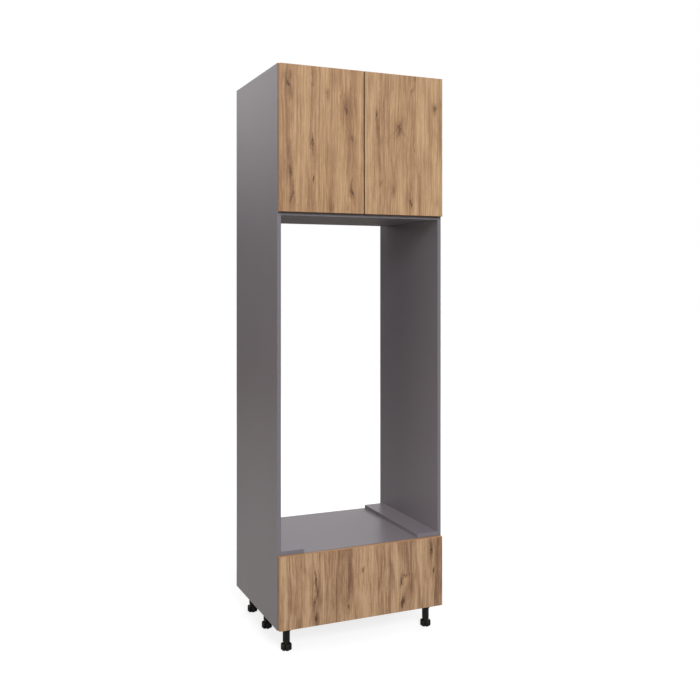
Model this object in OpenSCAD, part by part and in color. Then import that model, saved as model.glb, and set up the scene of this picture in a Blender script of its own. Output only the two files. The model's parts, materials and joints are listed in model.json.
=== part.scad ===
// Tall oven housing unit: a kitchen tower that holds a built-in oven in an open niche, over a deep
// drawer and under a two-door cupboard. The carcass is faced chipboard on cam locks and dowels, it
// stands on six screw legs, and an air duct runs up behind the cupboard from the niche.
// Millimetres, +Z up, the fronts face -Y, the origin is on the floor under the middle of the unit.

/* [Carcass] */
// Outside width across the two side panels
unit_w = 762; // [600:1:900]
// Depth of the side panels
carcass_d = 590; // [570:1:640]
// Height of the side panels
carcass_h = 2322; // [2280:1:2420]
// Thickness of the carcass boards
board_t = 16; // [15:0.5:18]
// Thickness of the thin back panels
back_t = 3; // [2.5:0.5:4]
// How far the back panels sit in the side panels
back_groove = 7; // [4:0.5:9]
// Height of the rail that ties the side panels at the top rear
rail_h = 96; // [80:1:120]
// Distance between the two wall screw holes in the rail
wall_hole_pitch = 600; // [300:10:640]

/* [Oven niche] */
// Height of the niche floor over the underside of the carcass
niche_floor_z = 306; // [290:1:340]
// Depth of the niche floor and of the bottom panel
niche_floor_d = 557; // [545:1:565]
// Clear height of the niche
niche_h = 1394; // [1300:1:1440]
// Depth of the shelf over the niche and of the top panel
niche_top_d = 517; // [480:1:530]
// Width of each oven rest strip
strip_w = 100; // [60:1:120]
// Thickness of each oven rest strip
strip_t = 16; // [14:0.5:19]

/* [Doors and drawer front] */
// Thickness of the doors and of the drawer front
front_t = 18; // [17:0.5:20]
// Gap that the bumpers keep between the fronts and the carcass
front_gap = 2; // [1.6:0.1:3]
// Reveal beside the fronts
side_reveal = 3; // [2:0.1:4]
// Reveal over the doors
top_reveal = 3; // [1:0.1:6]
// Gap between the two doors
middle_gap = 3; // [2:0.1:6]
// How far the doors cover the edge of the shelf over the niche
door_overlap = 2; // [1:0.5:8]
// How far the drawer front stays under the niche floor's top face
drawer_top_reveal = 0.5; // [0:0.5:6]
// How far the drawer front stays over the underside of the carcass
drawer_bottom_reveal = 2.5; // [0:0.5:6]
// Diameter of each soft bumper
bumper_d = 8; // [6:0.5:10]

/* [Adjustable shelf] */
// Number of shelf pin holes in each row
pin_rows = 9; // [5:2:13]
// Pitch of the shelf pin holes
pin_pitch = 32; // [25:1:40]
// Diameter of the shelf pin holes
pin_hole_d = 5; // [4:0.1:6]
// Depth of the shelf pin holes
pin_hole_depth = 12; // [8:0.5:13]
// Distance of the front row from the front edge
pin_front = 69; // [65:1:120]
// Distance of the rear row from the thin back panel
pin_rear = 60; // [40:1:100]
// Distance of the shelf behind the front edge
shelf_setback = 20; // [10:1:40]
// Play between the shelf and what surrounds it
shelf_play = 1; // [0.5:0.1:3]

/* [Drawer] */
// Length of the drawer box and of its runners
runner_l = 508; // [450:1:525]
// How far the drawer pulls out
drawer_travel = 480; // [350:10:500]
// Width of the space that each runner takes beside the drawer box
runner_space = 12.7; // [12.5:0.1:13.5]
// Height of the drawer box
drawer_box_h = 180; // [120:1:200]
// Height of the drawer box over the bottom panel
drawer_box_rise = 34; // [20:1:50]
// Height of the runners' middle line over the underside of the drawer box
runner_rise = 60; // [40:1:80]
// Thickness of the drawer box boards
drawer_board_t = 16; // [15:0.5:18]
// Thickness of the drawer bottom
drawer_bottom_t = 6; // [4:0.5:8]
// How far the drawer bottom sits in its grooves
drawer_groove = 7; // [5:0.5:8]
// Height of the drawer bottom over the underside of the drawer box
drawer_bottom_rise = 12; // [10:0.5:20]

/* [Legs] */
// Height of the legs, floor to carcass
leg_h = 100; // [90:1:120]
// Diameter of the leg tube
leg_tube_d = 30; // [30:0.5:36]
// Diameter of the threaded stem that shows over the foot
stem_d = 25.5; // [22:0.5:26]
// Height of stem that shows between tube and foot
stem_show = 8.5; // [8.5:0.5:14]
// How deep the stem is screwed into the tube
stem_grip = 40; // [35:1:45]
// Diameter over the lobes of the foot
foot_d = 46; // [42:0.5:60]
// Height of the foot
foot_h = 27; // [22:0.5:36]
// Number of lobes round the foot
foot_lobes = 6; // [5:1:9]
// Distance of the leg centres from the outside of the side panels
leg_side = 54; // [50:1:90]
// Distance of the front legs from the front edge of the carcass
leg_front = 43; // [40:1:75]
// Distance of the middle legs from the front edge of the carcass
leg_middle = 300; // [250:1:350]
// Distance of the rear legs from the rear edge of the bottom panel
leg_rear = 44; // [28.5:0.5:60]
// Width of the square fixing plate
plate_w = 56; // [52:1:57]
// Pitch of the four fixing screws
plate_pitch = 42; // [40:1:44]

/* [Cup hinges] */
// Diameter of the hinge cups
cup_d = 35; // [34.5:0.1:35.5]
// Depth of the hinge cups
cup_depth = 12.8; // [12.5:0.1:13]
// Board left between the cup and the hinge edge of the door
cup_edge = 5; // [4.5:0.1:6]
// Distance of the hinges from the top and bottom of the doors
hinge_end = 100; // [70:1:150]
// Distance of the hinge plate screws from the front edge
plate_front = 37; // [36:0.5:38]
// Pitch of the two screws of a hinge plate
hinge_plate_pitch = 32; // [28:1:36]

/* [Hidden] */
$fn = 48;

// Colours of the faced boards, the oak decor, plated steel, black plastic and bare wood
board_grey = "#7f7879";
oak = "#b38a63";
zinc = "#b9bcbf";
black = "#141412";
beech = "#c9a878";
clear_soft = "#d9d9d2";

// How far a cutting shape runs past the face that it opens
cut = 1;
// Play between a fastener and its hole
fit = 0.03;
// Play between a thin panel and its groove
slot_play = 0.2;

// The fronts stand this far before the carcass, and the unit is this deep over all
front_proud = front_gap + front_t;
unit_d = front_proud + carcass_d;
// Half of the clear width between the side panels
inner_x = unit_w / 2 - board_t;
// Underside and top face of the shelf over the niche
niche_top_z = niche_floor_z + niche_h;
cupboard_z = niche_top_z + board_t;

// Level boards: middle height, depth, and the face that their cams are let into (1 top, -1 under)
TOP = [carcass_h - board_t / 2, niche_top_d, 1];
NICHE_TOP = [niche_top_z + board_t / 2, niche_top_d, 1];
NICHE_FLOOR = [niche_floor_z - board_t / 2, niche_floor_d, -1];
BOTTOM = [board_t / 2, niche_floor_d, -1];

// Cam joint: cams stand this far from the board's end, their bolts this far from its edges
cam_reach = 34;
cam_inset = 110;
dowel_from_cam = 64;
cam_r = 7.5;
cam_skin = 3.5;
cam_h = board_t - cam_skin;
bolt_way_r = 4;
bolt_head_r = 3.5;
bolt_neck_r = 2.2;
bolt_shank_r = 3;
bolt_screw_r = 2.5;
bolt_screw_l = 11;
dowel_r = 4;
dowel_in_side = 11;
dowel_in_board = 19;
rail_bolt_z = carcass_h - rail_h / 3;
rail_dowel_z = carcass_h - 2 * rail_h / 3;
rail_y = carcass_d - board_t / 2;

// Places [y, z] of the cam bolts and of the dowels in a side panel
function bolt_places(b) = [[cam_inset, b[0]], [b[1] - cam_inset, b[0]]];
function dowel_places(b) = [for (p = bolt_places(b))
    [p[0] + (p[0] < b[1] / 2 ? dowel_from_cam : -dowel_from_cam), p[1]]];
LEVEL_BOARDS = [TOP, NICHE_TOP, NICHE_FLOOR, BOTTOM];
SIDE_BOLTS = [for (b = LEVEL_BOARDS) each bolt_places(b), [rail_y, rail_bolt_z]];
SIDE_DOWELS = [for (b = LEVEL_BOARDS) each dowel_places(b), [rail_y, rail_dowel_z]];

// Countersunk and pan screws: head radius, head height, shank radius, length under the head
strip_screw = [4, 2.4, 2, board_t + strip_t - 7];
back_screw = [3, 1.2, 1.5, 16];
leg_screw = [3.8, 2.2, 1.9, 14];
plate_screw = [4, 1.6, 2.9, 11];
cup_screw = [3.6, 1.6, 1.9, 12];
runner_screw = [3.6, 1.5, 1.9, 12];
front_screw = [4.2, 2, 2, drawer_board_t + 10];
strip_screw_end = 70;
back_screw_xs = [-0.84, -0.28, 0.28, 0.84];

// Wall screw holes in the rail, and the holes in the thin back that a driver reaches them through
wall_hole_r = 3;
driver_hole_r = 8;
wall_hole_z = rail_bolt_z - 12;

// Shelf pins: rows, resting row, and the shelf on them
pin_row_ys = [pin_front, niche_top_d - pin_rear];
pin_mid_z = (cupboard_z + carcass_h - board_t) / 2;
pin_r = pin_hole_d / 2 - fit;
pin_collar_r = 4;
pin_collar_t = shelf_play - 0.2;
pin_spoon_l = 9;
pin_spoon_half = 1.5;
shelf_z = pin_mid_z + pin_spoon_half;
shelf_d = niche_top_d - shelf_setback - 12;

// Fronts
door_w = (unit_w - 2 * side_reveal - middle_gap) / 2;
door_z = cupboard_z - door_overlap;
door_h = carcass_h - top_reveal - door_z;
drawer_front_w = unit_w - 2 * side_reveal;
drawer_front_h = niche_floor_z - drawer_top_reveal - drawer_bottom_reveal;
bumper_t = front_gap - 0.1;
bumper_inset = 12;

// Drawer box, centred between the runners
box_x = inner_x - runner_space;
box_z = board_t + drawer_box_rise;
box_y = -front_gap;
box_in_x = box_x - drawer_board_t;
runner_z = box_z + runner_rise;
bottom_z = box_z + drawer_bottom_rise;
box_dowel_low = 40;
box_dowel_high = 30;
box_dowel_zs = [box_z + box_dowel_low, box_z + drawer_box_h - box_dowel_high];
front_screw_in = 60;
front_screw_low = 50;
front_screw_high = 40;
front_screw_x = box_in_x - front_screw_in;
front_screw_zs = [box_z + front_screw_low, box_z + drawer_box_h - front_screw_high];

// Runner profiles: sheet thickness, then half height, first face and last face of each channel,
// measured from the side panel's inner face
sheet = 1.2;
CABINET_CHANNEL = [22.5, 0, 10.8];
MIDDLE_CHANNEL = [18, 3.2, 11.2];
DRAWER_CHANNEL = [13.5, 5.4, 12.7];
runner_y = 2;
cage_t = 0.6;
cage_l = 190;
cage_y = runner_y + runner_l / 2 - cage_l / 2;
cage_balls = 7;
cage_ball_us = [7.2, 8.4];
ball_play = 0.05;
runner_screw_ys = [37, 0.45 * runner_l, 0.9 * runner_l];
drawer_screw_ys = [60, 0.55 * runner_l, 0.86 * runner_l];

// Legs: tube, socket ribs and threaded stem
leg_x = unit_w / 2 - leg_side;
LEG_YS = [leg_front, leg_middle, niche_floor_d - leg_rear];
plate_t = 4;
plate_corner_r = 6;
socket_r = leg_tube_d / 2 + 4;
socket_h = 20;
rib_t = 2.4;
tube_end = foot_h + stem_show;
stem_play = 0.08;
tube_roof = 6;
thread_pitch = 4;
thread_depth = 0.8;
lobe_r = foot_d * 0.15;
foot_core_r = foot_d * 0.31;
foot_round = 5;
foot_toe = 4;

// Cup hinges, in a frame whose x runs inwards from the door's hinge edge and y back from the carcass
// front. Pins: A and B in the arm, C and D in the cup. The inner link joins A to C, the outer B to D.
cup_x = cup_edge + cup_d / 2;
cup_wall = 0.95;
cup_floor = 0.9;
cup_in_r = cup_d / 2 - cup_wall;
cup_flange_t = 0.8;
cup_flange_reach = 13.5;
pin_a = [cup_x + 0.5, 2 - front_gap];
pin_b = [cup_x + 12.3, 2.8 - front_gap];
pin_c = [cup_x - 13.4, -front_gap - 6.6];
pin_d = [cup_x - 10.1, -front_gap - 2.6];
hinge_pin_r = 1.1;
pin_bore_play = 0.05;
eye_r = 2.3;
cup_eye_r = 2.2;
link_w = 2;
inner_link_half = 3.4;
outer_link_zs = [3.8, 5.2];
cheek_zs = [5.6, 6.8];
saddle_half = 5.3;
cup_screw_pitch = 48;
cup_screw_x = cup_x + 6;
cup_wing_r = 6;
cup_wing_w = 22;
hinge_zs = [door_z + hinge_end, door_z + door_h - hinge_end];
nose_r = 2.8;
web_x = cup_x + 4.5;
cheek_x = cup_x - 5;
web_y = 12;
arm_end = 62;
plate_base_t = 2.5;
plate_wing_r = 6.5;
saddle_y = [24, 58];
plate_x = board_t - side_reveal;
arm_screw = [3.2, 1.4, 1.9, 7];
arm_screw_ys = [29, 51];
// Bends of the two links, from pin C and from pin D, and the fork that takes pin D
INNER_BENDS = [[2.1, -3.5], [8.4, -3.7], [12.8, -0.2], [13.7, 4.6]];
OUTER_BENDS = [[3.1, -0.9], [5.6, -3.4], [11.6, -2.8], [17.6, 1.6]];
outer_tie = [15.6, 0.1];
fork_at = [1.2, -0.25];
fork_slot_r = 1.82;
fork_r = 2.65;
fork_tip = -1.8;

// Easing of the board edges
board_ease = 0.5;
front_ease = 1;

module in_unit() translate([0, front_proud - unit_d / 2, leg_h]) children();

module both_sides() {
    children();
    mirror([1, 0, 0]) children();
}

// A board with eased edges, from its lowest corner
module eased_outline(w, h, e) polygon([
    [e, 0], [w - e, 0], [w, e], [w, h - e], [w - e, h], [e, h], [0, h - e], [0, e]
]);

module board(at, size, e = board_ease) translate(at) intersection() {
    linear_extrude(size[2]) eased_outline(size[0], size[1], e);
    rotate([90, 0, 90]) linear_extrude(size[0]) eased_outline(size[1], size[2], e);
    translate([0, size[1], 0]) rotate([90, 0, 0])
        linear_extrude(size[1]) eased_outline(size[0], size[2], e);
}

// Screws: s = [head radius, head height, shank radius, length], shank down from z = 0
module screw_recess(s, face) for (a = [0, 90])
    translate([0, 0, face]) rotate(a) cube([s[0] * 1.1, s[0] * 0.22, s[1]], center = true);

module pan_screw(s) difference() {
    rotate_extrude() polygon([
        [0, -s[3]], [s[2] / 2, -s[3]], [s[2], s[2] - s[3]], [s[2], 0],
        [s[0], 0], [s[0], s[1] / 2], [s[0] * 0.7, s[1]], [0, s[1]]
    ]);
    screw_recess(s, s[1]);
}

module sunk_screw(s) difference() {
    rotate_extrude() polygon([
        [0, -s[3]], [s[2] / 2, -s[3]], [s[2], s[2] - s[3]], [s[2], -s[1]], [s[0], 0], [0, 0]
    ]);
    screw_recess(s, 0);
}

module sunk_seat(s, depth) {
    translate([0, 0, -depth]) cylinder(r = s[2] + fit, h = depth + cut);
    translate([0, 0, -s[1]]) cylinder(r1 = s[2] + fit, r2 = s[0] + fit, h = s[1] + fit);
}

// Joint seats at the left end of a board, x inwards from the end, z from the board's middle
module cam_seat(up) {
    translate([-cut, 0, 0]) rotate([0, 90, 0]) cylinder(r = bolt_way_r, h = cam_reach + cut);
    mirror([0, 0, up > 0 ? 0 : 1])
        translate([cam_reach, 0, board_t / 2 - cam_h]) cylinder(r = cam_r, h = cam_h + cut);
}

module dowel_seat(r, depth)
    translate([-cut, 0, 0]) rotate([0, 90, 0]) cylinder(r = r + fit, h = depth + cut + fit);

module cam(up) mirror([0, 0, up > 0 ? 0 : 1]) difference() {
    translate([cam_reach, 0, board_t / 2 - cam_h + fit]) cylinder(r = cam_r - fit, h = cam_h - 0.5);
    rotate([0, 90, 0]) cylinder(r = bolt_way_r, h = cam_reach + bolt_head_r);
    translate([cam_reach, 0, 0]) screw_recess([cam_r, 2.4], board_t / 2 - 0.5);
}

module cam_bolt() rotate([0, 90, 0]) rotate_extrude() polygon([
    [0, -bolt_screw_l], [bolt_screw_r, -bolt_screw_l], [bolt_screw_r, 0], [bolt_shank_r, 0],
    [bolt_shank_r, cam_reach - 6], [bolt_neck_r, cam_reach - 6], [bolt_neck_r, cam_reach - 1],
    [bolt_head_r, cam_reach - 1], [bolt_head_r, cam_reach + 2], [0, cam_reach + 2]
]);

module dowel(from, to) translate([from, 0, 0]) rotate([0, 90, 0]) cylinder(r = dowel_r, h = to - from);

// The cams, bolts and dowels of both ends of every board: each child is placed at a board's end
module at_cams() both_sides() {
    for (b = LEVEL_BOARDS, p = bolt_places(b)) translate([-inner_x, p[0], p[1]]) {
        if (b[2] > 0) children(0);
        else mirror([0, 0, 1]) children(0);
    }
    translate([-inner_x, rail_y, rail_bolt_z]) rotate([90, 0, 0]) children(0);
}

module level_board(b) difference() {
    board([-inner_x, 0, b[0] - board_t / 2], [2 * inner_x, b[1], board_t]);
    both_sides() {
        for (p = bolt_places(b)) translate([-inner_x, p[0], p[1]]) cam_seat(b[2]);
        for (p = dowel_places(b)) translate([-inner_x, p[0], p[1]]) dowel_seat(dowel_r, dowel_in_board);
    }
}

module back_pilots(b) for (k = back_screw_xs)
    translate([k * inner_x, b[1], b[0]]) rotate([-90, 0, 0]) sunk_seat(back_screw, back_screw[3]);

// Left side panel; the right one is its mirror image
module side_bore(y, z, r, depth) translate([-inner_x, y, z]) rotate([0, -90, 0])
    translate([0, 0, -cut]) cylinder(r = r, h = depth + cut);

module back_slot(y, z0, z1) translate([-inner_x - back_groove, y, z0 - cut])
    cube([back_groove + cut, back_t + slot_play, z1 - z0 + 2 * cut]);

module side_panel() difference() {
    board([-unit_w / 2, 0, 0], [board_t, carcass_d, carcass_h]);
    back_slot(niche_top_d, niche_top_z, carcass_h);
    back_slot(niche_floor_d, 0, niche_floor_z);
    for (p = SIDE_BOLTS) side_bore(p[0], p[1], bolt_screw_r + fit, bolt_screw_l + fit);
    for (p = SIDE_DOWELS) side_bore(p[0], p[1], dowel_r + fit, dowel_in_side + fit);
    for (y = pin_row_ys, i = [0 : pin_rows - 1])
        side_bore(y, pin_mid_z + (i - (pin_rows - 1) / 2) * pin_pitch, pin_hole_d / 2, pin_hole_depth);
    for (z = hinge_zs, k = [-0.5, 0.5]) side_bore(plate_front, z + k * hinge_plate_pitch,
        plate_screw[2] + fit, plate_screw[3] - plate_base_t + fit);
    for (y = runner_screw_ys)
        side_bore(runner_y + y, runner_z, runner_screw[2] + fit, runner_screw[3] - sheet + fit);
}

module left_side() color(board_grey) in_unit() side_panel();
module right_side() color(board_grey) in_unit() mirror([1, 0, 0]) side_panel();

module top_panel() color(board_grey) in_unit() difference() {
    level_board(TOP);
    back_pilots(TOP);
}

module niche_top_shelf() color(board_grey) in_unit() difference() {
    level_board(NICHE_TOP);
    back_pilots(NICHE_TOP);
}

module strip_screw_places() both_sides()
    for (y = [strip_screw_end, niche_floor_d / 2, niche_floor_d - strip_screw_end])
        translate([strip_w / 2 - inner_x, y, niche_floor_z - board_t]) rotate([180, 0, 0]) children();

module niche_floor() color(board_grey) in_unit() difference() {
    level_board(NICHE_FLOOR);
    back_pilots(NICHE_FLOOR);
    strip_screw_places() sunk_seat(strip_screw, board_t + cut);
}

module leg_places() for (x = [-leg_x, leg_x], y = LEG_YS) translate([x, y, 0]) children();

module leg_screw_places() for (x = [-0.5, 0.5], y = [-0.5, 0.5])
    translate([x * plate_pitch, y * plate_pitch, -plate_t]) rotate([180, 0, 0]) children();

module bottom_panel() color(board_grey) in_unit() difference() {
    level_board(BOTTOM);
    back_pilots(BOTTOM);
    leg_places() leg_screw_places()
        translate([0, 0, -leg_screw[3] - fit]) cylinder(r = leg_screw[2] + fit, h = leg_screw[3]);
}

module wall_rail() color(board_grey) in_unit() difference() {
    board([-inner_x, carcass_d - board_t, carcass_h - rail_h], [2 * inner_x, board_t, rail_h]);
    both_sides() {
        translate([-inner_x, rail_y, rail_bolt_z]) rotate([90, 0, 0]) cam_seat(1);
        translate([-inner_x, rail_y, rail_dowel_z]) dowel_seat(dowel_r, dowel_in_board);
        translate([-wall_hole_pitch / 2, carcass_d + cut, wall_hole_z]) rotate([90, 0, 0])
            cylinder(r = wall_hole_r, h = board_t + 2 * cut);
    }
}

module thin_back(b, z0, z1)
    translate([-inner_x - back_groove + slot_play, b[1] + slot_play / 2, z0])
        cube([2 * (inner_x + back_groove - slot_play), back_t, z1 - z0]);

module back_screw_holes(b) for (k = back_screw_xs)
    translate([k * inner_x, b[1] - cut, b[0]]) rotate([-90, 0, 0])
        cylinder(r = back_screw[2] + fit, h = back_t + 3 * cut);

module upper_back_panel() color(board_grey) in_unit() difference() {
    thin_back(NICHE_TOP, niche_top_z, carcass_h);
    back_screw_holes(TOP);
    back_screw_holes(NICHE_TOP);
    both_sides() translate([-wall_hole_pitch / 2, niche_top_d - cut, wall_hole_z]) rotate([-90, 0, 0])
        cylinder(r = driver_hole_r, h = back_t + 3 * cut);
}

module drawer_back_panel() color(board_grey) in_unit() difference() {
    thin_back(NICHE_FLOOR, 0, niche_floor_z);
    back_screw_holes(NICHE_FLOOR);
    back_screw_holes(BOTTOM);
}

module back_panel_screws() color(zinc) in_unit() for (b = LEVEL_BOARDS, k = back_screw_xs)
    translate([k * inner_x, b[1] + slot_play / 2 + back_t, b[0]]) rotate([-90, 0, 0])
        pan_screw(back_screw);

module adjustable_shelf() color(board_grey) in_unit()
    board([shelf_play - inner_x, shelf_setback, shelf_z], [2 * (inner_x - shelf_play), shelf_d, board_t]);

module shelf_pin() {
    rotate([0, -90, 0]) cylinder(r = pin_r, h = pin_hole_depth - 1);
    rotate([0, 90, 0]) cylinder(r = pin_collar_r, h = pin_collar_t);
    translate([0, -pin_collar_r, -pin_spoon_half])
        cube([pin_spoon_l, 2 * pin_collar_r, 2 * pin_spoon_half]);
}

module shelf_pins() color(zinc) in_unit() both_sides() for (y = pin_row_ys)
    translate([-inner_x, y, pin_mid_z]) shelf_pin();

module oven_strip() difference() {
    board([-inner_x, 0, niche_floor_z], [strip_w, niche_floor_d, strip_t]);
    strip_screw_places()
        translate([0, 0, -strip_screw[3] - fit]) cylinder(r = strip_screw[2] + fit, h = strip_screw[3]);
}

module left_oven_strip() color(board_grey) in_unit() oven_strip();
module right_oven_strip() color(board_grey) in_unit() mirror([1, 0, 0]) oven_strip();
module oven_strip_screws() color(zinc) in_unit() strip_screw_places() sunk_screw(strip_screw);

module cam_locks() color(zinc) in_unit() at_cams() cam(1);
module cam_bolts() color(zinc) in_unit() at_cams() cam_bolt();

module wood_dowels() color(beech) in_unit() both_sides() for (p = SIDE_DOWELS)
    translate([-inner_x, p[0], p[1]]) dowel(-dowel_in_side, dowel_in_board);

// Legs, from the underside of the carcass down
module leg_plate() {
    w = plate_w - 2 * plate_corner_r;
    square([w, plate_w], center = true);
    square([plate_w, w], center = true);
    for (x = [-w / 2, w / 2], y = [-w / 2, w / 2]) translate([x, y]) circle(r = plate_corner_r);
}

module leg_body() difference() {
    union() {
        translate([0, 0, -plate_t]) linear_extrude(plate_t) leg_plate();
        translate([0, 0, -socket_h]) cylinder(r = socket_r, h = socket_h - plate_t / 2);
        translate([0, 0, tube_end - leg_h]) cylinder(d = leg_tube_d, h = leg_h - tube_end - plate_t / 2);
        for (a = [0, 90]) rotate(a) translate([0, 0, -socket_h / 2 - plate_t / 4])
            cube([plate_w - 6, rib_t, socket_h - plate_t * 1.5], center = true);
    }
    translate([0, 0, tube_end - leg_h - cut])
        cylinder(r = stem_d / 2 + stem_play, h = leg_h - tube_end - tube_roof + cut);
    leg_screw_places() translate([0, 0, -plate_t - cut])
        cylinder(r = leg_screw[2] + fit, h = plate_t + 2 * cut);
}

module leg_bodies() color(black) in_unit() leg_places() leg_body();
module leg_screws() color(zinc) in_unit() leg_places() leg_screw_places() pan_screw(leg_screw);

// Screwed foot: a lobed knob and the threaded stem over it, from the floor up
module foot_knob() intersection() {
    linear_extrude(foot_h) {
        circle(r = foot_core_r);
        for (i = [0 : foot_lobes - 1]) rotate((i + 0.5) * 360 / foot_lobes)
            translate([foot_d / 2 - lobe_r, 0]) circle(r = lobe_r);
    }
    rotate_extrude() polygon(concat(
        [[0, 0]],
        [for (a = [-90 : 30 : 0]) [foot_d / 2 + foot_toe * (cos(a) - 1), foot_toe * (sin(a) + 1)]],
        [for (a = [0 : 30 : 90])
            [foot_d / 2 + foot_round * (cos(a) - 1), foot_h + foot_round * (sin(a) - 1)]],
        [[0, foot_h]]
    ));
}

stem_turns = floor((stem_show + stem_grip) / thread_pitch);

module foot_stem() rotate_extrude() polygon(concat(
    [[0, foot_h - cut], [stem_d / 2 - thread_depth, foot_h - cut]],
    [for (i = [0 : stem_turns - 1], p = [[-1, 0.1], [0, 0.25], [0, 0.6], [-1, 0.75]])
        [stem_d / 2 + p[0] * thread_depth, foot_h + (i + p[1]) * thread_pitch]],
    [[stem_d / 2 - thread_depth, foot_h + stem_show + stem_grip],
        [0, foot_h + stem_show + stem_grip]]
));

module foot(x, i) color(black) in_unit() translate([x, LEG_YS[i], -leg_h]) {
    foot_knob();
    foot_stem();
}

module front_left_foot() foot(-leg_x, 0);
module middle_left_foot() foot(-leg_x, 1);
module rear_left_foot() foot(-leg_x, 2);
module front_right_foot() foot(leg_x, 0);
module middle_right_foot() foot(leg_x, 1);
module rear_right_foot() foot(leg_x, 2);

// Hinge frame of the left door: x inwards from the door's hinge edge, z from the hinge's middle
module at_hinges() for (z = hinge_zs) translate([side_reveal - unit_w / 2, 0, z]) children();

module cup_screw_places() for (k = [-0.5, 0.5])
    translate([cup_screw_x, cup_flange_t - front_gap, k * cup_screw_pitch]) rotate([-90, 0, 0])
        children();

module door() difference() {
    board([side_reveal - unit_w / 2, -front_proud, door_z], [door_w, front_t, door_h], front_ease);
    at_hinges() {
        translate([cup_x, cut - front_gap, 0]) rotate([90, 0, 0])
            cylinder(d = cup_d, h = cup_depth + cut);
        cup_screw_places() translate([0, 0, -cup_screw[3] - fit])
            cylinder(r = cup_screw[2] + fit, h = cup_screw[3] + cut);
    }
}

module left_door() color(oak) in_unit() door();
module right_door() color(oak) in_unit() mirror([1, 0, 0]) door();

module bumper() rotate([-90, 0, 0]) rotate_extrude() polygon([
    [0, 0], [bumper_d / 2, 0], [bumper_d / 2, bumper_t / 2], [bumper_d / 3, bumper_t], [0, bumper_t]
]);

module door_bumpers() for (k = [door_w / 2, bumper_inset])
    translate([side_reveal - unit_w / 2 + door_w - k, -front_gap, carcass_h - board_t / 2]) bumper();

module left_door_bumpers() color(clear_soft) in_unit() door_bumpers();
module right_door_bumpers() color(clear_soft) in_unit() mirror([1, 0, 0]) door_bumpers();

// Flange of the cup; it stops short of the side panel's edge, which it would meet as the door turns
module cup_flange() difference() {
    union() {
        circle(d = cup_d + 2);
        square([cup_wing_w, cup_screw_pitch - cup_wing_r], center = true);
        for (k = [-0.5, 0.5]) translate([cup_screw_x - cup_x, k * cup_screw_pitch])
            circle(r = cup_wing_r);
    }
    translate([-cup_d, -cup_d]) square([cup_d - cup_flange_reach, 2 * cup_d]);
}

module hinge_cup() difference() {
    union() {
        translate([cup_x, -front_gap, 0]) rotate([90, 0, 0])
            cylinder(r = cup_d / 2 - fit, h = cup_depth - fit);
        translate([cup_x, cup_flange_t - front_gap, 0]) rotate([90, 0, 0]) linear_extrude(cup_flange_t)
            cup_flange();
    }
    translate([cup_x, cut, 0]) rotate([90, 0, 0])
        cylinder(r = cup_in_r, h = cut + front_gap + cup_depth - cup_floor);
    for (p = [pin_c, pin_d]) translate([p[0], p[1], -cup_d / 2])
        cylinder(r = hinge_pin_r + fit, h = cup_d);
    cup_screw_places() translate([0, 0, -cup_flange_t - cut])
        cylinder(r = cup_screw[2] + fit, h = cup_flange_t + 2 * cut);
}

module left_hinge_cups() color(zinc) in_unit() at_hinges() hinge_cup();
module right_hinge_cups() color(zinc) in_unit() mirror([1, 0, 0]) at_hinges() hinge_cup();

module cup_screws() at_hinges() cup_screw_places() pan_screw(cup_screw);
module left_cup_screws() color(zinc) in_unit() cup_screws();
module right_cup_screws() color(zinc) in_unit() mirror([1, 0, 0]) cup_screws();

module hinge_pin(p, z0, z1) translate([p[0], p[1], z0]) cylinder(r = hinge_pin_r, h = z1 - z0);

// The cup's pins are filed flush with its wall; D is two stubs, so that the inner link can pass
module cup_pins() at_hinges() intersection() {
    union() {
        hinge_pin(pin_c, -cup_d / 2, cup_d / 2);
        for (m = [0, 1]) mirror([0, 0, m]) hinge_pin(pin_d, outer_link_zs[0] - 0.15, cup_d / 2);
    }
    translate([cup_x, -front_gap, 0]) rotate([90, 0, 0]) cylinder(r = cup_d / 2 - 2 * fit, h = cup_depth);
}

module left_cup_pins() color(zinc) in_unit() cup_pins();
module right_cup_pins() color(zinc) in_unit() mirror([1, 0, 0]) cup_pins();

// A flat bent link: a strip of steel of even width along its bends
module strip_path(points) {
    for (i = [0 : len(points) - 2]) let (d = points[i + 1] - points[i])
        translate(points[i]) rotate(atan2(d[1], d[0])) translate([0, -link_w / 2])
            square([norm(d), link_w]);
    for (p = points) translate(p) circle(d = link_w);
}

module pin_bore(p) translate(p) circle(r = hinge_pin_r + pin_bore_play);

module inner_link() translate([0, 0, -inner_link_half]) linear_extrude(2 * inner_link_half)
    difference() {
        union() {
            strip_path([pin_c, for (b = INNER_BENDS) pin_c + b, pin_a]);
            translate(pin_c) circle(r = cup_eye_r);
            translate(pin_a) circle(r = eye_r);
        }
        pin_bore(pin_a);
        pin_bore(pin_c);
    }

module outer_link_cheek() difference() {
    union() {
        strip_path([for (b = OUTER_BENDS) pin_d + b, pin_b]);
        translate(pin_b) circle(r = eye_r);
        translate(pin_d + fork_at) circle(r = fork_r);
        translate(pin_d + [fork_tip, fork_at[1] - fork_r]) square([fork_at[0] - fork_tip, 2 * fork_r]);
    }
    pin_bore(pin_b);
    translate(pin_d + fork_at) circle(r = fork_slot_r);
    translate(pin_d + [fork_tip - cut, fork_at[1] - fork_slot_r])
        square([fork_at[0] - fork_tip + cut, 2 * fork_slot_r]);
}

module outer_link() {
    for (m = [0, 1]) mirror([0, 0, m]) translate([0, 0, outer_link_zs[0]])
        linear_extrude(outer_link_zs[1] - outer_link_zs[0]) outer_link_cheek();
    translate([pin_d[0] + outer_tie[0], pin_d[1] + outer_tie[1], -outer_link_zs[1]])
        cylinder(d = link_w, h = 2 * outer_link_zs[1]);
}

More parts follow.
